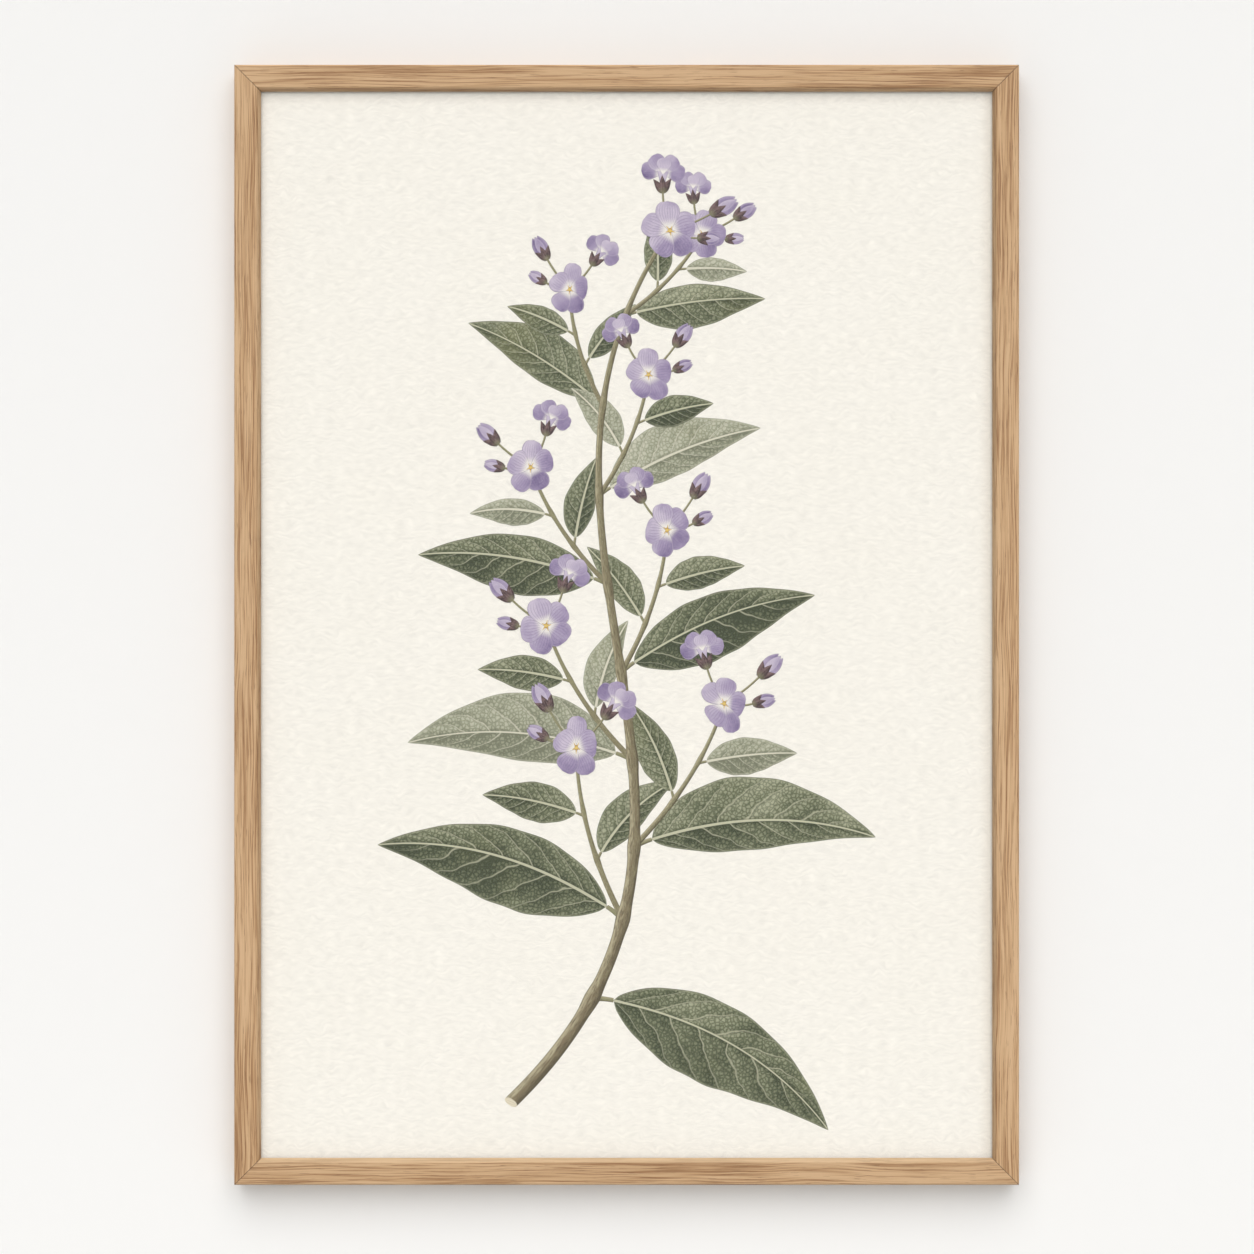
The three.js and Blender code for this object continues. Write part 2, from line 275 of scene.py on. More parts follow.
HALF_WIDTH = (cad_box[1].x - cad_box[0].x) / 2
HALF_HEIGHT = (cad_box[1].z - cad_box[0].z) / 2


def dress(name, material):
    """Gives one of the solids its material."""
    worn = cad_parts[name].data.materials
    worn.clear()
    worn.append(material)


def oak(name, along, shift, painted_rail_shade, painted_sight_shade, painted_edge_shade, painted_sight_light):
    """The first three shares are painted shade: how much darker the rail, its sight face and its outer edge
    are drawn than plain oak. An edge share below nought is a painted highlight. The last share is painted
    light: how far the sight face is drawn paler. shift is where in the wood the rail was cut."""
    wood = Finish(name)
    x, y, z = wood.split(wood.place())
    run, across = (x, z) if along == "X" else (z, x)

    def drawn(length, width, detail=2.0, roughness=0.5, sway=0.0):
        """Cloud drawn out along the grain, with features about so long and wide, in millimetres."""
        where = wood.joined(run * (1 / (length * MM)) + shift, (across + sway) * (1 / (width * MM)),
                            y * (1 / (width * MM)))
        return wood.cloud(where, detail=detail, roughness=roughness)

    sway = (drawn(90, 30) - 0.5) * 6 * MM
    drift = drawn(110, 10.0)
    band = drawn(90, 3.0, 1.0, sway=sway)
    streak = drawn(48, 0.72, 2.0, 0.55, sway).rise(0.34, 0.60)
    fibre = drawn(30, 0.27, 2.0, 0.65, sway)
    dash = drawn(9.0, 0.36, 1.0, 0.5, sway) + (0.5 - streak) * 0.10
    pore = dash.rise(0.64, 0.70)
    body = (band - 0.5) * 1.1 + (streak - 0.5) * 0.74 + (drift - 0.5) * 0.9 + (fibre - 0.5) * 1.3 + 0.51
    colour = wood.node("ValToRGB", {"stops": [(0.10, OAK_DARK), (0.52, OAK_MIDDLE), (0.92, OAK_LIGHT)]},
                       {"Fac": body})
    colour = wood.blend(pore * 0.55, colour, OAK_PORE)
    from_side = HALF_WIDTH - abs(x)
    from_end = HALF_HEIGHT - abs(z - PICTURE_CENTRE.z)
    inward = from_end if along == "X" else from_side
    deep = y - FRONT_PLANE
    mitre = abs(from_side - from_end).rise(0.1 * MM, MITRE_LINE, 0.36, 1.0)
    sight = inward.rise(RAIL_WIDTH - SIGHT_FACE, RAIL_WIDTH - SIGHT_FACE + 0.25 * MM)
    # Painted light: the sight face of a rail that faces up is drawn paler.
    colour = wood.blend(sight * painted_sight_light, colour, OAK_PAINTED_LIGHT)
    # Painted shade: the sight face is drawn darker, most towards the back.
    sight = sight * deep.rise(0.0, SIGHT_DEPTH, 0.3, 1.0) * painted_sight_shade
    handled = inward.rise(0.5 * MM, 0.0) * deep.rise(HANDLED_FROM, HANDLED_FULL)
    colour = wood.blend(handled * 0.18, colour, OAK_HANDLED)
    # Painted highlight (top rail) or painted shade (bottom and left rails) on the outer eased edge.
    edge = inward.rise(EASED_EDGE, 0.3 * MM) * painted_edge_shade
    # The whole face takes the rail's painted shade, on top of the painted shade or highlight of the sight
    # face and the outer edge.
    colour = wood.tint(colour, mitre * (1 - handled * 0.22) * (1 - sight) * (1 - edge) * (1 - painted_rail_shade))
    height = fibre * 0.5 + streak * 0.3 - pore
    return wood.surface(Base_Color=colour, Roughness=0.52 + streak * 0.22,
                        Normal=wood.relief(height, 0.05 * MM, 0.55))


# Per rail: where its grain was cut, then painted shade on its face, its sight face and its outer edge (below
# nought a painted highlight), and painted light on its sight face.
for rail, along, shift, painted_rail_shade, painted_sight_shade, painted_edge_shade, painted_sight_light in [
        ("rail_top", "X", 3.1, 0.025, 0.34, -0.17, 0.0),
        ("rail_right", "Z", 17.7, 0.0, 0.28, 0.0, 0.0),
        ("rail_bottom", "X", 41.3, 0.05, 0.0, 0.20, 0.44),
        ("rail_left", "Z", 58.9, 0.0, 0.12, 0.06, 0.0)]:
    dress(rail, oak("oak_" + rail, along, shift, painted_rail_shade, painted_sight_shade, painted_edge_shade, painted_sight_light))

# The pane: clear cast acrylic, 1.5 mm thick, sawn and flame-polished at the edges. It lies against the lip
# and is clear but for a faint film of dust.
ACRYLIC_GREY = (0.45, 0.47, 0.47, 1)
ACRYLIC_BEND = 1.49
clear = Finish("acrylic")
dust = clear.cloud(clear.place(), 900, 4.0).rise(0.4, 0.9, 0.015, 0.035)
dress("acrylic_pane", clear.surface(Base_Color=ACRYLIC_GREY, Roughness=0.06, Alpha=dust, IOR=ACRYLIC_BEND))

# The sheet: heavy uncoated cream art paper, cut to the rebate. Its fine tooth and its short wavering fibres
# show as faint tone. The shallow waves it has relaxed into are a faint relief, and their light and shade is
# painted into the tone as well. Beside the upright rails a brownish painted shade darkens it, wider and
# stronger at the right.
PAPER_CREAM = (0.935, 0.900, 0.815, 1)
PAPER_PALE = (0.960, 0.930, 0.860, 1)
PAPER_PAINTED_SHADE = (0.550, 0.460, 0.350, 1)
PAINTED_SHADE_LEFT = 4.5 * MM
PAINTED_SHADE_RIGHT = 8.0 * MM
WAVER = 10 * MM
SIGHT_HALF = HALF_WIDTH - RAIL_WIDTH
paper = Finish("cream_paper")
px, py, pz = paper.split(paper.place())
tooth = paper.cloud(paper.place(), 1500, 3.0, 0.6)
wave_relief_and_shade = paper.cloud(paper.joined(px * 44, py, pz * 300 + px * 34), 1.0, 3.0, 0.6)
mottle = paper.cloud(paper.place(), 26, 3.0)
waver = (paper.cloud(paper.place(), 120, 1.0) - 0.5) * WAVER
fibres = paper.cloud(paper.joined(px * 180, py, (pz + waver) * 700), 1.0, 2.0, 0.55)
cream = paper.blend(mottle * 0.6 + tooth * 0.4, PAPER_CREAM, PAPER_PALE)
# The waves' share of the tone is painted light and shade; the fibres' share is their own colour.
cream = paper.tint(cream, 0.825 + wave_relief_and_shade * 0.08 + fibres * 0.30)
from_left = px + SIGHT_HALF
from_right = SIGHT_HALF - px
# Painted shade: a brownish darkening of the sheet beside the upright rails, wider and stronger at the right.
paper_edge_shade = from_left.rise(PAINTED_SHADE_LEFT, 0.8 * MM) * 0.14 + from_right.rise(PAINTED_SHADE_RIGHT, 0.8 * MM) * 0.22
cream = paper.blend(paper_edge_shade, cream, PAPER_PAINTED_SHADE)
dress("printed_sheet", paper.surface(Base_Color=cream, Roughness=0.88,
                                     Normal=paper.relief(tooth + wave_relief_and_shade * 1.5, 0.03 * MM, 0.5)))

# The printed design: a flowering branch of no particular plant, printed in matt pigment. Each leaf, petal and
# stem is a stroke: a middle line with a width on each side. The ink is a film on the paper's face, and what
# lies in front in the picture is a film on the one behind.
FILM = 0.010 * MM
FILM_STEP = 0.0045 * MM
FILM_CLEAR = 0.012 * MM
PAPER_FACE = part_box("printed_sheet")[0].y - FILM_CLEAR
PAGE_LIGHT = np.array([-0.64, 0.77])
MATT_INK = 0.82
chance = random.Random(20)


class Print:
    """The strokes of one printed piece. Each point keeps where it lies along and across its stroke, the tone
    of the stroke, its half width in millimetres and how far its left flank faces the light on the page."""

    def __init__(self):
        self.points, self.faces, self.inks, self.ink_of_face = [], [], [], []
        self.along, self.facts = [], {"tone": [], "half": [], "lit": []}

    def stroke(self, ink, middle, left, right, layer, tone, across):
        """middle: points in mm from the sheet's centre. left, right: widths in mm beside each point.
        layer: how many steps in front of the paper. across: how many faces wide each half is."""
        middle = np.asarray(middle, float)
        left, right = np.asarray(left, float), np.asarray(right, float)
        step = np.gradient(middle, axis=0)
        step /= np.maximum(np.linalg.norm(step, axis=1, keepdims=True), 1e-9)
        side = np.stack([step[:, 1], -step[:, 0]], 1)
        lit = -side @ PAGE_LIGHT
        count, row = len(middle), 2 * across + 1
        share = np.linspace(-1, 1, row)
        width = np.where(share < 0, left[:, None], right[:, None])
        spot = middle[:, None, :] + side[:, None, :] * (width * share)[:, :, None]
        first, back = len(self.points), len(self.points) + count * row
        near = PAPER_FACE - layer * FILM_STEP - FILM
        for depth in (near, near + FILM):
            for i in range(count):
                for j in range(row):
                    self.points.append((spot[i, j, 0] * MM, depth, PICTURE_CENTRE.z + spot[i, j, 1] * MM))
                    self.along.append((i / (count - 1), share[j] / 2 + 0.5))
                    self.facts["tone"].append(tone)
                    self.facts["half"].append(width[i, j])
                    self.facts["lit"].append(lit[i])

        def at(i, j, base=first):
            return base + i * row + j

        faces = []
        for i in range(count - 1):
            for j in range(row - 1):
                faces.append((at(i, j), at(i + 1, j), at(i + 1, j + 1), at(i, j + 1)))
                faces.append((at(i, j + 1, back), at(i + 1, j + 1, back), at(i + 1, j, back), at(i, j, back)))
            faces.append((at(i, 0, back), at(i + 1, 0, back), at(i + 1, 0), at(i, 0)))
            faces.append((at(i, row - 1), at(i + 1, row - 1), at(i + 1, row - 1, back), at(i, row - 1, back)))
        last = count - 1
        for j in range(row - 1):
            faces.append((at(0, j), at(0, j + 1), at(0, j + 1, back), at(0, j, back)))
            faces.append((at(last, j, back), at(last, j + 1, back), at(last, j + 1), at(last, j)))
        self.faces += faces
        if ink not in self.inks:
            self.inks.append(ink)
        self.ink_of_face += [self.inks.index(ink)] * len(faces)

    def printed(self, name):
        mesh = bpy.data.meshes.new(name)
        mesh.from_pydata(self.points, [], self.faces)
        for ink in self.inks:
            mesh.materials.append(ink)
        mesh.polygons.foreach_set("material_index", self.ink_of_face)
        stroke_map = mesh.uv_layers.new(name="along_stroke")
        corner_points = np.empty(len(mesh.loops), int)
        mesh.loops.foreach_get("vertex_index", corner_points)
        stroke_map.uv.foreach_set("vector", np.asarray(self.along, np.float32)[corner_points].ravel())
        for fact, values in self.facts.items():
            mesh.attributes.new(fact, "FLOAT", "POINT").data.foreach_set("value", values)
        piece = bpy.data.objects.new(name, mesh)
        bpy.context.scene.collection.objects.link(piece)
        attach(piece, "root")


def stroke_facts(ink, *facts):
    """Where a point lies along and across its stroke, and then each fact that is asked for."""
    along, across, _ = ink.split(ink.node("UVMap", {"uv_map": "along_stroke"}))
    return along, across, *[ink.node("Attribute", {"attribute_name": fact}, output="Fac") for fact in facts]


# Leaf ink: olive grey-green washes, darker on the half away from the light, with the midrib and side veins
# left pale, the cells between them puckered, and a thin pale rim inside the darker outline.
LEAF_DEEP = (0.050, 0.062, 0.030, 1)
LEAF_MIDDLE = (0.175, 0.192, 0.108, 1)
LEAF_PALE = (0.430, 0.440, 0.300, 1)
LEAF_RIM = (0.600, 0.590, 0.420, 1)
LEAF_OLIVE = (0.300, 0.290, 0.110, 1)
UNDER_DEEP = (0.190, 0.200, 0.130, 1)
UNDER_MIDDLE = (0.390, 0.400, 0.285, 1)
UNDER_PALE = (0.620, 0.610, 0.480, 1)
UNDER_RIM = (0.740, 0.710, 0.570, 1)
VEINS = 8
CELL = 2.1 * MM
CELL_BEND = 1.6 * MM


def leaf_ink(name, deep, middle, pale, rim):
    ink = Finish(name)
    along, across, tone, half, lit = stroke_facts(ink, "tone", "half", "lit")
    side = across - 0.5
    out = abs(side) * 2
    left = side < 0
    facing = (left * 2 - 1) * lit
    from_rib = out * half
    from_edge = (1 - out) * half
    where = ink.place()
    wash = ink.cloud(where, 40, 3.0)
    warmth = ink.cloud(where, 24, 1.0)
    hatch = ink.cloud(where, 1000, 3.0, 0.7)
    wander = ink.cloud(where, 110, 1.0) * 0.5
    phase = (along - out * 0.15 - out * out * 0.07) * VEINS + left * 0.45 + wander
    share = phase.fraction()
    vein = abs(share - 0.5) * 2
    vein_line = vein.rise(0.88, 0.97) * (1 - out * 0.5) * along.rise(0.95, 0.7, 0.3, 1)
    vein_side = share.rise(0.02, 0.16, 1, 0) * share.rise(0.0, 0.02)
    bend = ink.node("TexNoise", sockets={"Vector": where, "Scale": 300.0}, output="Color")
    cell_at = ink.node("VectorMath", {"operation": "MULTIPLY_ADD"}, {0: bend, 1: (CELL_BEND,) * 3, 2: where})
    cell = ink.node("TexVoronoi", {"feature": "DISTANCE_TO_EDGE"}, {"Vector": cell_at, "Scale": 1 / CELL})
    pucker = cell.rise(0.02, 0.32)
    light = (1 - share) * 0.26 + facing * 0.17 + (wash - 0.5) * 0.74 + tone * 0.40 + pucker * 0.30
    light = light + (hatch - 0.5) * 0.42 - from_rib.rise(3.0, 0.5) * 0.20
    colour = ink.node("ValToRGB", {"stops": [(0.10, deep), (0.48, middle), (0.95, pale)]}, {"Fac": light})
    colour = ink.blend(cell.rise(0.10, 0.02) * 0.34, colour, deep)
    colour = ink.blend(vein_side * 0.45, colour, deep)
    colour = ink.blend(warmth.rise(0.50, 0.75) * along.rise(0.2, 1.0) * 0.30, colour, LEAF_OLIVE)
    colour = ink.blend(vein_line * 0.60, colour, rim)
    rib = from_rib - (0.28 + (1 - along) * 0.40)
    colour = ink.blend(rib.rise(0.75, 0.0) * 0.50, colour, deep)
    colour = ink.blend(rib.rise(0.12, -0.05) * 0.92, colour, rim)
    colour = ink.blend(from_edge.rise(1.3, 0.5) * 0.38, colour, pale)
    colour = ink.blend(from_edge.rise(0.42, 0.20) * 0.60, colour, deep)
    return ink.surface(Base_Color=colour, Roughness=MATT_INK, Normal=ink.relief(hatch, 0.02 * MM, 0.3))


leaf_upper = leaf_ink("ink_leaf_deep", LEAF_DEEP, LEAF_MIDDLE, LEAF_PALE, LEAF_RIM)
leaf_under = leaf_ink("ink_leaf_pale", UNDER_DEEP, UNDER_MIDDLE, UNDER_PALE, UNDER_RIM)

# Stem ink: olive at the young end and bark brown at the cut, light on the flank that faces the light, with
# broken lines lengthwise.
STEM_DARK = (0.085, 0.068, 0.036, 1)
STEM_BROWN = (0.215, 0.165, 0.095, 1)
STEM_OLIVE = (0.290, 0.280, 0.150, 1)
STEM_LIGHT = (0.560, 0.500, 0.330, 1)
ink = Finish("ink_stem")
along, across, tone, half, lit = stroke_facts(ink, "tone", "half", "lit")
facing = (0.5 - across) * 2 * lit
lines = ink.cloud(ink.joined(along * 60, across * 6, half), 1.0, 4.0, 0.65)
bark = ink.cloud(ink.joined(along * 150, across * 11, half), 1.0, 1.0)
body = ink.blend(tone + along * 0.5 + (lines - 0.5) * 1.2, STEM_BROWN, STEM_OLIVE)
body = ink.blend((facing + (lines - 0.5) * 2.2).rise(0.0, 0.75) * 0.75, body, STEM_LIGHT)
body = ink.blend((facing + (lines - 0.5) * 1.8).rise(-0.15, -0.7) * 0.80, body, STEM_DARK)
body = ink.blend(bark.rise(0.56, 0.68) * 0.55, body, STEM_DARK)
body = ink.blend(abs(across - 0.5).rise(0.40, 0.48) * 0.55, body, STEM_DARK)
stem_ink = ink.surface(Base_Color=body, Roughness=MATT_INK)

# Petal ink: lilac washes over a white throat, with fine violet veins that fan out from it, a pale border and
# a thin violet outline.
PETAL_DEEP = (0.165, 0.118, 0.255, 1)
PETAL_MIDDLE = (0.370, 0.300, 0.460, 1)
PETAL_PALE = (0.620, 0.545, 0.660, 1)
PETAL_THROAT = (0.900, 0.860, 0.795, 1)
ink = Finish("ink_petal")
along, across, tone, half, lit = stroke_facts(ink, "tone", "half", "lit")
side = across - 0.5
facing = (0.5 - across) * 2 * lit
wash = ink.cloud(ink.place(), 95, 3.0)
grain = ink.cloud(ink.place(), 1000, 3.0, 0.7)
fan = abs((side * 9 + (wash - 0.5) * 1.2).fraction() - 0.5) * 2
veins = fan.rise(0.72, 0.98) * along.rise(0.10, 0.30) * along.rise(1.0, 0.66)
light = 0.74 - along * 0.22 + facing * 0.20 + (wash - 0.5) * 1.0 + (grain - 0.5) * 0.4 + (tone - 0.5) * 0.8
petal = ink.node("ValToRGB", {"stops": [(0.08, PETAL_DEEP), (0.45, PETAL_MIDDLE), (0.92, PETAL_PALE)]},
                 {"Fac": light})
petal = ink.blend(veins * 0.55, petal, PETAL_DEEP)
petal = ink.blend(along.rise(0.44, 0.14) * 0.95, petal, PETAL_THROAT)
petal = ink.blend(veins * along.rise(0.5, 0.2) * 0.5, petal, PETAL_DEEP)
from_edge = (1 - abs(side) * 2) * half
petal = ink.blend(from_edge.rise(0.9, 0.45) * along.rise(0.25, 0.5) * 0.45, petal, PETAL_PALE)
petal = ink.blend(from_edge.rise(0.36, 0.16) * 0.62, petal, PETAL_DEEP)
petal_ink = ink.surface(Base_Color=petal, Roughness=MATT_INK, Normal=ink.relief(grain, 0.02 * MM, 0.3))

# Calyx ink: purple-brown ribs, greener at the foot. Eye ink: warm yellow with an ochre edge. Cut ink: the
# pale wood where the branch was cut.
CALYX_DEEP = (0.060, 0.034, 0.036, 1)
CALYX_MIDDLE = (0.205, 0.125, 0.125, 1)
CALYX_LIGHT = (0.430, 0.330, 0.290, 1)
CALYX_FOOT = (0.255, 0.260, 0.140, 1)
ink = Finish("ink_calyx")
along, across, lit = stroke_facts(ink, "lit")
facing = (0.5 - across) * 2 * lit
wash = ink.cloud(ink.place(), 500, 3.0, 0.7)
rib = abs((across * 3).fraction() - 0.5) * 2
calyx = ink.blend((wash + facing * 0.25).rise(0.3, 0.75), CALYX_DEEP, CALYX_MIDDLE)
calyx = ink.blend(rib.rise(0.75, 1.0) * (0.4 + facing * 0.3), calyx, CALYX_LIGHT)
calyx = ink.blend(along.rise(0.45, 0.0) * 0.7, calyx, CALYX_FOOT)
calyx = ink.blend(abs(across - 0.5).rise(0.38, 0.48) * 0.6, calyx, CALYX_DEEP)
calyx_ink = ink.surface(Base_Color=calyx, Roughness=MATT_INK)

EYE_YELLOW = (0.780, 0.560, 0.160, 1)
EYE_OCHRE = (0.360, 0.200, 0.060, 1)
ink = Finish("ink_eye")
along, across = stroke_facts(ink)
eye = ink.blend(abs(across - 0.5).rise(0.15, 0.5), EYE_YELLOW, EYE_OCHRE)
eye_ink = ink.surface(Base_Color=eye, Roughness=MATT_INK)

CUT_PALE = (0.800, 0.730, 0.560, 1)
CUT_RING = (0.420, 0.330, 0.200, 1)
ink = Finish("ink_cut")
along, across = stroke_facts(ink)
rings = abs((across * 3 + along * 1.5).fraction() - 0.5) * 2
cut = ink.blend(rings.rise(0.5, 1.0) * 0.6, CUT_PALE, CUT_RING)
cut_ink = ink.surface(Base_Color=cut, Roughness=MATT_INK)

# The branch, its leaves and flowers, placed by rule along a main stem that sweeps across the sheet. A heading
# is in degrees clockwise from straight up the page, and lengths are in millimetres.


def bow(start, heading, length, turn, count):
    """Points of a line that leaves start on a heading and turns by so many degrees along its length."""
    angles = np.radians(heading + turn * np.linspace(0, 1, count) ** 1.2)
    moves = np.stack([np.sin(angles), np.cos(angles)], 1) * length / (count - 1)
    return np.asarray(start, float) + np.vstack([[0, 0], np.cumsum(moves[:-1], axis=0)])


def sweep(start, first, second, end, count):
    """A cubic curve from start to end, drawn towards the first and second points on its way."""
    t = np.linspace(0, 1, count)[:, None]
    start, first, second, end = (np.asarray(p, float) for p in (start, first, second, end))
    return (1 - t) ** 3 * start + 3 * (1 - t) ** 2 * t * first + 3 * (1 - t) * t ** 2 * second + t ** 3 * end


def heading_at(line, i):
    ahead = line[min(i + 1, len(line) - 1)] - line[max(i - 1, 0)]
    return math.degrees(math.atan2(ahead[0], ahead[1]))


def oval_width(count, half):
    return half * np.sqrt(np.maximum(1 - np.linspace(-1, 1, count) ** 2, 0.02))


def leaf_width(count, half, widest=0.42):
    """Egg-shaped: widest below the middle, drawn out to a fine tip."""
    s = np.linspace(0, 1, count)
    power = math.log(0.5) / math.log(widest)
    return half * np.sin(np.pi * s ** power) ** 0.85 * (1 - 0.25 * s ** 3) + 0.12


PETALS = 5


def petal_width(count, half):
    """Broad and blunt, widest past the middle, narrow at the throat."""
    s = np.linspace(0, 1, count)
    opening = 0.16 + 0.84 * np.sin(np.pi / 2 * np.minimum(s / 0.68, 1)) ** 1.3
    return half * opening * np.sqrt(np.maximum(1 - s ** 7, 0)) + 0.08


def stem(name, line, low, high, layer, tone, nodes=(), cut=False):
    """nodes: the points where leaves leave it, at which a stem is a little thicker."""
    drawn = Print()
    at = np.arange(len(line))
    half = np.linspace(low, high, len(line)) / 2
    for node in nodes:
        half = half * (1 + 0.28 * np.exp(-((at - node) / 1.6) ** 2))
    drawn.stroke(stem_ink, line, half, half, layer, tone, 3)
    if cut:
        aside = heading_at(line, 0) + 78
        towards = np.array([math.sin(math.radians(aside)), math.cos(math.radians(aside))])
        face = bow(line[0] - towards * low * 0.51, aside, low * 1.02, 0, 12)
        drawn.stroke(cut_ink, face, *[oval_width(12, low * 0.24)] * 2, layer + 1, 0.5, 2)
    drawn.printed(name)


def leaf(name, root, heading, length, width, bend, layer, stalk, under=False, lean=0.0):
    """lean: from -1 to 1, how much narrower the left or right half is drawn, as in a leaf that is turned."""
    drawn = Print()
    petiole = bow(root, heading - bend * 0.25, stalk, bend * 0.25, 8)
    thick = np.linspace(0.022, 0.015, 8) * width + 0.35
    drawn.stroke(stem_ink, petiole, thick, thick, layer, 0.75, 2)
    count = 60
    middle = bow(petiole[-1], heading, length, bend, count)
    half = leaf_width(count, width / 2)
    s = np.linspace(0, 1, count)
    left_ripple = 1 + 0.016 * np.sin(s * chance.uniform(20, 34) + chance.uniform(0, 6))
    right_ripple = 1 + 0.016 * np.sin(s * chance.uniform(20, 34) + chance.uniform(0, 6))
    drawn.stroke(leaf_under if under else leaf_upper, middle, half * left_ripple * (1 - max(lean, 0)),
                 half * right_ripple * (1 + min(lean, 0)), layer + 1, chance.uniform(0.1, 0.9), 6)
    drawn.printed(name)


def flower(name, centre, size, turn, squash, tilt, layer):
    """An open flower seen at a slant: squash is how much shorter it is drawn, across the heading tilt."""
    drawn = Print()
    cos, sin = math.cos(math.radians(tilt)), math.sin(math.radians(tilt))
    to_tilt = np.array([[cos, sin], [-sin, cos]])

    def seen(points):
        return np.asarray(points, float) @ to_tilt.T @ np.diag([1, squash]) @ to_tilt + centre

    def seen_stroke(ink, line, half, layer, tone, across):
        step = np.gradient(line, axis=0)
        side = np.stack([step[:, 1], -step[:, 0]], 1) / np.linalg.norm(step, axis=1, keepdims=True)
        line_seen = seen(line)
        step_seen = np.gradient(line_seen, axis=0)
        step_seen /= np.maximum(np.linalg.norm(step_seen, axis=1, keepdims=True), 1e-9)
        across_seen = np.stack([step_seen[:, 1], -step_seen[:, 0]], 1)
        kept = np.maximum(abs(((seen(line + side) - line_seen) * across_seen).sum(1)), 0.25)
        drawn.stroke(ink, line_seen, half * kept, half * kept, layer, tone, across)

    for k in range(PETALS):
        angle = turn + 360 / PETALS * k + chance.uniform(-4, 4)
        reach = size / 2 * chance.uniform(0.93, 1.05)
        tone = 0.5 + 0.30 * math.cos(math.radians(angle + 40)) + chance.uniform(-0.08, 0.08)
        petal = bow((0, 0), angle, reach, 14, 22)
        seen_stroke(petal_ink, petal, petal_width(22, size * 0.235), layer + k, tone, 5)
    for k in range(PETALS):
        ray = bow((0, 0), turn + 360 / PETALS * (k + 0.5), size * 0.10, 0, 6)
        seen_stroke(eye_ink, ray, np.linspace(size * 0.022, 0.1, 6), layer + PETALS, 0.5, 1)
    dot = bow((-size * 0.042, 0), 90, size * 0.084, 0, 10)
    seen_stroke(eye_ink, dot, oval_width(10, size * 0.042), layer + PETALS + 1, 0.5, 2)
    drawn.printed(name)


def calyx(name, root, heading, length, layer):
    """Three pointed sepals that clasp the foot of a flower or bud."""
    drawn = Print()
    for aside in (-1, 1, 0):
        line = bow(root, heading + aside * 26, length * (1 - 0.06 * abs(aside)), aside * 14, 14)
        half = leaf_width(14, length * 0.19, 0.38)
        drawn.stroke(calyx_ink, line, half, half, layer + (aside == 0), 0.5, 3)
    drawn.printed(name)


def bud(name, root, heading, length, layer):
    drawn = Print()
    aside = math.radians(heading + 90)
    sideways = np.array([math.sin(aside), math.cos(aside)])
    for k, (offset, tone) in enumerate([(-0.11, 0.10), (0.11, 0.30), (0.0, 0.65)]):
        line = bow(root + sideways * offset * length, heading + offset * 30, length, -offset * 80, 16)
        half = leaf_width(16, length * 0.17, 0.60)
        drawn.stroke(petal_ink, line, half, half, layer + k, tone, 3)
    drawn.printed("bud_" + name)
    calyx("calyx_bud_" + name, root, heading, length * 0.60, layer + 3)


def side_flower(name, root, heading, size, layer):
    """A flower seen from the side: a calyx, a tube that widens, and the petals nearest to the eye."""
    drawn = Print()
    tube = bow(root, heading, size * 0.42, 6, 14)
    mouth, ahead = tube[-1], heading_at(tube, 13)
    inside = mouth - (tube[-1] - tube[0]) * 0.12
    petals = [(-74, 0.42, 0.20), (78, 0.42, 0.25), (-30, 0.40, 0.45), (34, 0.40, 0.55)]
    for k, (angle, reach, tone) in enumerate(petals):
        line = bow(inside, ahead + angle, size * reach, angle * 0.35, 18)
        half = petal_width(18, size * 0.17)
        drawn.stroke(petal_ink, line, half, half, layer + k, tone, 4)
    half = size * (0.035 + 0.075 * np.linspace(0, 1, 14) ** 2)
    drawn.stroke(petal_ink, tube, half, half, layer + 4, 0.9, 3)
    lip = petal_width(18, size * 0.15)
    drawn.stroke(petal_ink, bow(inside, ahead + 2, size * 0.30, 4, 18), lip, lip, layer + 5, 0.85, 4)
    drawn.printed("side_flower_" + name)
    calyx("calyx_flower_" + name, root, heading, size * 0.34, layer + 6)


def cluster(name, line, hand, size, layer):
    """The end of a shoot: an open flower, one from the side and two buds, each on a stalk of its own."""
    end, ahead = line[-1], heading_at(line, len(line) - 1)
    for n, (turn, reach) in enumerate([(-hand * 52, 0.62), (hand * 40, 0.70), (hand * 84, 0.46)]):
        stalk = bow(end, ahead + turn, size * reach, -turn * 0.35, 12)
        stem(f"stalk_{name}_{n}", stalk, 1.3, 1.1, layer - 3, 0.65)
        if n == 0:
            side_flower(name, stalk[-1], heading_at(stalk, 11), size * 0.86, layer - 2)
        else:
            bud(f"{name}_{n}", stalk[-1], heading_at(stalk, 11), size * (0.62 - 0.12 * n), layer - 2)
    turned, slant = ahead + chance.uniform(0, 72), chance.uniform(0.66, 0.95)
    flower("flower_" + name, end, size, turned, slant, ahead + 90, layer + 6)


def by_age(old, young, age):
    """A size between that of the oldest growth, low on the stem, and that of the youngest."""
    return old + (young - old) * age


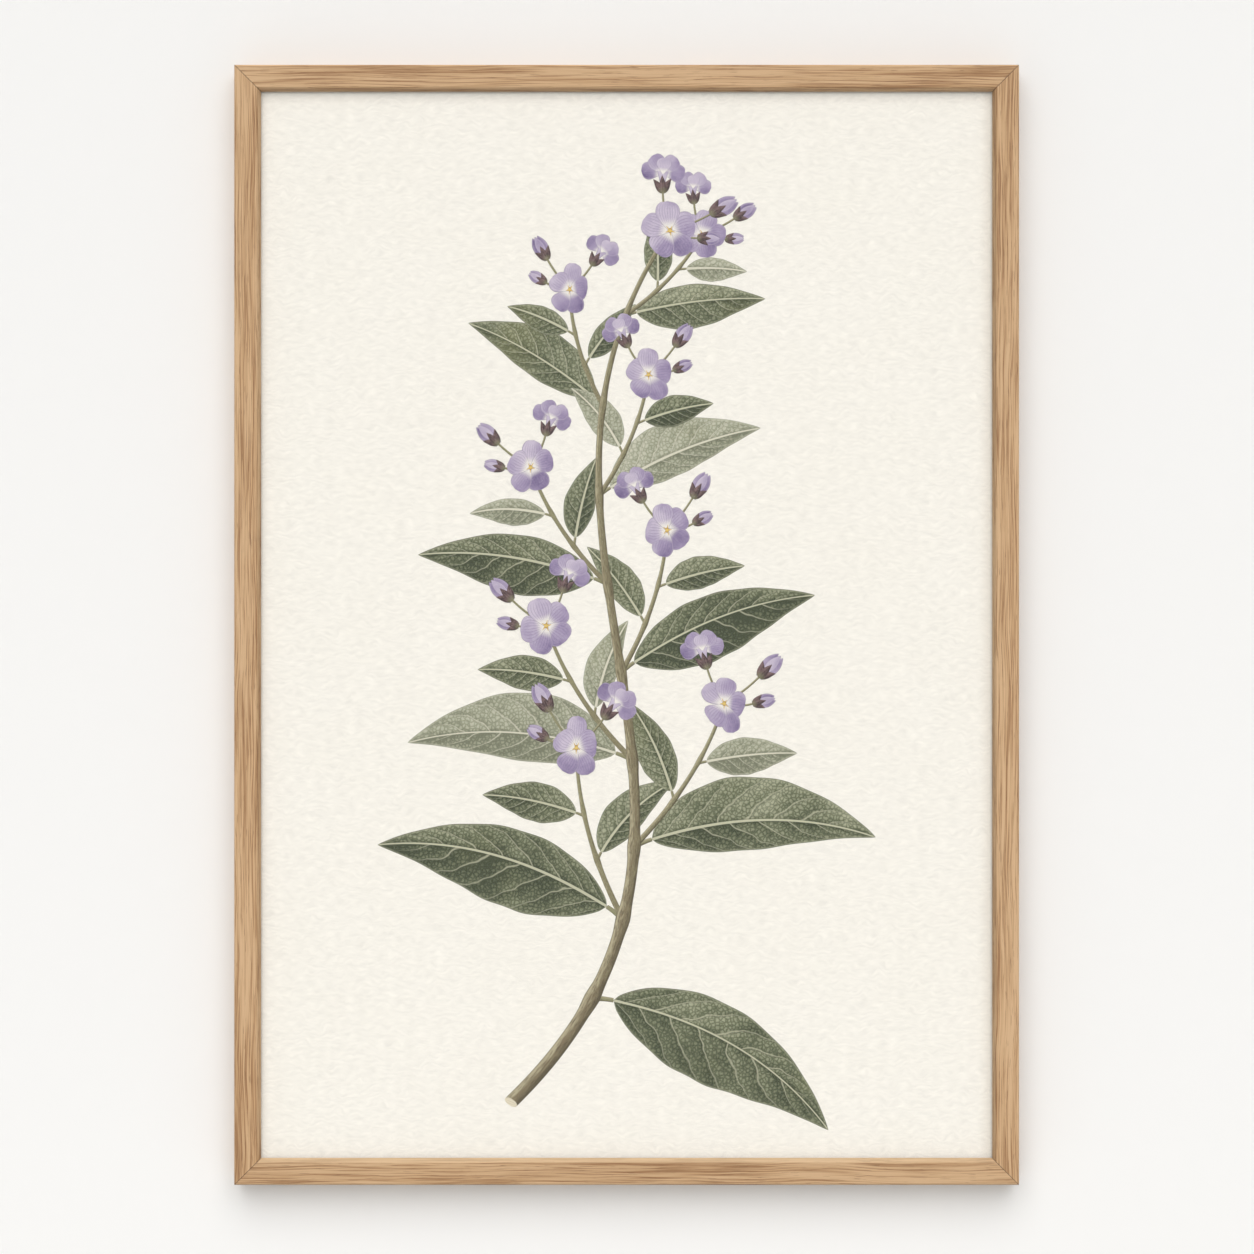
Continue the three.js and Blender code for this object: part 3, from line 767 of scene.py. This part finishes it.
MAIN_POINTS = 130
MAIN_FOOT = 7.6
MAIN_TIP = 2.2
MAIN_LAYER = 20
LEAF_PLACES = [0.13, 0.22, 0.31, 0.41, 0.51, 0.61, 0.71, 0.81, 0.91]
LEAF_LONG = (142, 72)
LEAF_WIDE = (56, 30)
LEAF_STALK = (12, 6)
PALE_LEAVES = (3, 6)
SHOOT_POINTS = 40
SHOOT_LONG = (104, 62)
SHOOT_FOOT = (3.4, 2.4)
SHOOT_TIP = 1.7
SHOOT_LAYER = 19
SHOOT_PLACES = [0.36, 0.64]
SHOOT_NODES = [14, 25]
SMALL_LONG = (66, 40)
SMALL_WIDE = (28, 18)
SMALL_STALK = 5
FLOWER_SIZE = (36, 28)
TOP_FLOWER = 34
UPPER_LAYER = 40
LAYER_GAP = 16
leaf_points = [int(place * (MAIN_POINTS - 1)) for place in LEAF_PLACES]
main = sweep((-64, -264), (96, -110), (-90, 50), (24, 218), MAIN_POINTS)
stem("stem_main", main, MAIN_FOOT, MAIN_TIP, MAIN_LAYER, 0.10, leaf_points, cut=True)
for k, i in enumerate(leaf_points):
    hand = -1 if k % 2 else 1
    age = (LEAF_PLACES[k] - LEAF_PLACES[0]) / (LEAF_PLACES[-1] - LEAF_PLACES[0])
    root, heading = main[i], heading_at(main, i)
    leaf(f"leaf_main_{k}", root, heading + hand * by_age(74, 56, age),
         by_age(*LEAF_LONG, age), by_age(*LEAF_WIDE, age), hand * by_age(42, 16, age), k % 3 * 2,
         by_age(*LEAF_STALK, age), k in PALE_LEAVES, 0.34 * (-1) ** (k // 2 + k))
    if k == 0:
        continue
    shoot_heading = heading + hand * by_age(42, 34, age)
    shoot = bow(root, shoot_heading, by_age(*SHOOT_LONG, age), -hand * 26, SHOOT_POINTS)
    stem(f"stem_shoot_{k}", shoot, by_age(*SHOOT_FOOT, age), SHOOT_TIP, SHOOT_LAYER, 0.45, SHOOT_NODES)
    for n, place in enumerate(SHOOT_PLACES):
        j = int(place * (SHOOT_POINTS - 1))
        way = hand * (1 if n % 2 else -1)
        small = 1 - 0.25 * place
        leaf(f"leaf_shoot_{k}_{n}", shoot[j], heading_at(shoot, j) + way * chance.uniform(44, 60),
             by_age(*SMALL_LONG, age) * small, by_age(*SMALL_WIDE, age) * small, way * chance.uniform(10, 34),
             6 + k % 3 * 4 + n * 2, SMALL_STALK, (k + n) % 3 == 0, chance.uniform(-0.35, 0.35))
    cluster(f"{k}", shoot, hand, by_age(*FLOWER_SIZE, age), UPPER_LAYER - (k + 1) % 2 * LAYER_GAP)
cluster("top", main, 1, TOP_FLOWER, UPPER_LAYER)

# The back board: smooth brown hardboard, sawn to size, with a fine flecked fibre.
BOARD_BROWN = (0.330, 0.222, 0.135, 1)
BOARD_DARK = (0.215, 0.135, 0.080, 1)
BOARD_FLECK = (0.500, 0.375, 0.255, 1)
board = Finish("fibreboard")
where = board.place()
felted = board.cloud(where, 900, 5.0, 0.7)
cloudy = board.cloud(where, 22, 2.0)
bx, by, bz = board.split(where)
hairs = board.cloud(board.joined(bx * 500, by * 500, bz * 2400), 1.0, 2.0).rise(0.60, 0.74)
brown = board.blend(felted * 0.9 + cloudy * 0.16 + 0.02, BOARD_DARK, BOARD_BROWN)
brown = board.blend(hairs * 0.35, brown, BOARD_FLECK)
dress("back_board", board.surface(Base_Color=brown, Roughness=0.62 + felted * 0.25,
                                  Normal=board.relief(felted, 0.05 * MM, 0.4)))

# Tabs, V nails, hanger and pins: stamped steel strip with a bright zinc plating, faintly spangled and lightly
# scuffed where it was handled and driven in.
ZINC_BRIGHT = (0.640, 0.650, 0.660, 1)
ZINC_DULL = (0.420, 0.430, 0.440, 1)
zinc = Finish("zinc_steel")
where = zinc.place()
spangle = zinc.node("TexVoronoi", {"feature": "F1"}, {"Vector": where, "Scale": 620}, "Color")
spangle = zinc.split(spangle)[0]
scuff = zinc.cloud(where, 700, 4.0, 0.7)
bright = zinc.blend(spangle * 0.5 + scuff * 0.5, ZINC_DULL, ZINC_BRIGHT)
zinc_material = zinc.surface(Base_Color=bright, Metallic=1.0, Roughness=0.26 + scuff * 0.25 + spangle * 0.08,
                             Normal=zinc.relief(scuff, 0.02 * MM, 0.4))
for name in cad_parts:
    if name.startswith(("tab_", "v_nail_", "hanger_pin_")) or name == "sawtooth_hanger":
        dress(name, zinc_material)

# The wall bumpers: die-cut dots of dense grey-brown wool felt, stuck on the lower corners with their own
# adhesive, so that the frame hangs upright and doesn't mark the wall.
FELT_GREY = (0.240, 0.215, 0.185, 1)
FELT_LIGHT = (0.420, 0.390, 0.350, 1)
felt = Finish("felt")
wool = felt.cloud(felt.place(), 2600, 4.0, 0.8)
mixed = felt.blend(wool.rise(0.35, 0.75), FELT_GREY, FELT_LIGHT)
felt_material = felt.surface(Base_Color=mixed, Roughness=0.97, Normal=felt.relief(wool, 0.25 * MM, 0.9))
for side in ("left", "right"):
    dress("wall_bumper_" + side, felt_material)
